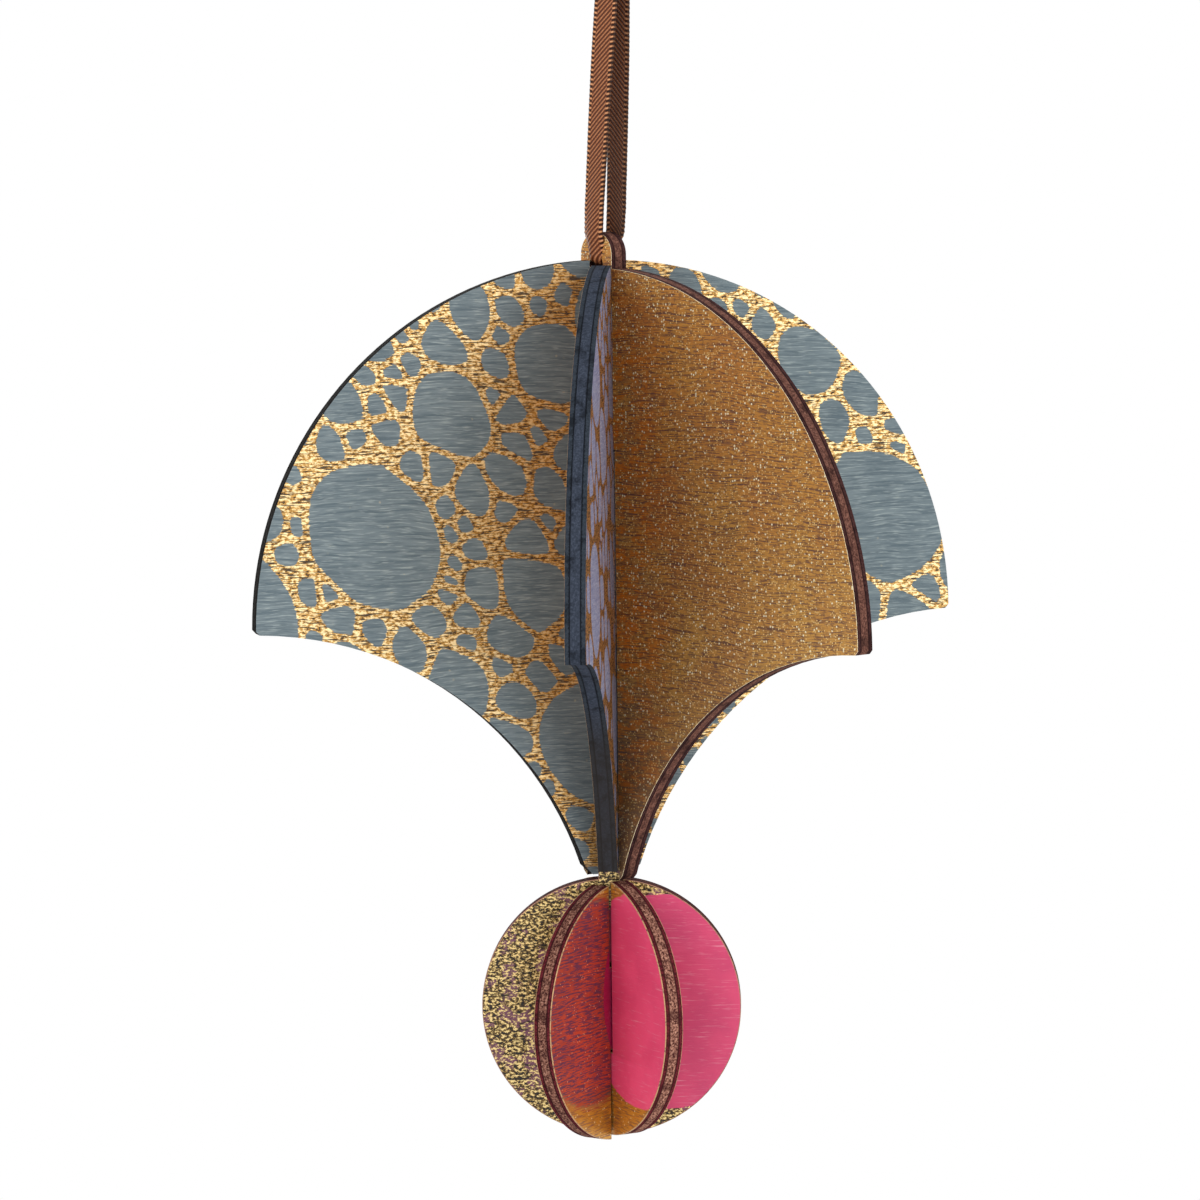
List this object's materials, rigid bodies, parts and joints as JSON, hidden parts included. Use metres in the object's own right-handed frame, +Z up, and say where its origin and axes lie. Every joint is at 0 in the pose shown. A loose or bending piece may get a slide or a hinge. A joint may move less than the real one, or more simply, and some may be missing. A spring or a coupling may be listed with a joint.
{
  "type": "wooden hanging bauble",
  "caption": "Slot-together plywood hanging bauble: crossing scalloped fan sheets over a small ball of crossing discs, with an eyelet and a satin ribbon loop.",
  "frame": {"origin": "point at the top of the ribbon loop, just under its knot, where a hook or twig holds it", "axes": "+Z up; -Y towards the camera of the picture; +X to the picture's right"},
  "size_m": [0.0776, 0.0798, 0.1399],
  "materials": {
    "slate_print_ply": "printed ply, slate blue pebbles on gold foil, satin",
    "lavender_print_ply": "printed ply, lavender blue pebbles on gold foil, satin, dark sawn edge",
    "bronze_print_ply": "printed ply, bronze and gold foil, satin",
    "gold_rose_print_ply": "printed ply, gold glitter and rose, satin",
    "ember_print_ply": "printed ply, ember red and ochre, satin",
    "rose_print_ply": "printed ply, rose pink and ochre, satin",
    "satin_ribbon": "brown satin ribbon with copper highlights",
    "satin_knot": "brown satin ribbon, tied"
  },
  "bodies": {
    "ribbon": {"ribbon_loop": "satin_ribbon", "ribbon_knot": "satin_knot"},
    "bauble": {"fan_pebble_sheet": "slate_print_ply", "fan_front_sheet": "lavender_print_ply", "fan_eyelet_sheet": "bronze_print_ply", "ball_tab_disc": "gold_rose_print_ply", "ball_second_disc": "ember_print_ply", "ball_third_disc": "rose_print_ply"}
  },
  "joints": [
    {"name": "eyelet_swing", "type": "hinge", "parent": "ribbon", "child": "bauble", "pos_m": [-0.0015, 0, -0.034], "axis": [-0.742, -0.6704, 0], "range_deg": [-30, 30]}
  ]
}
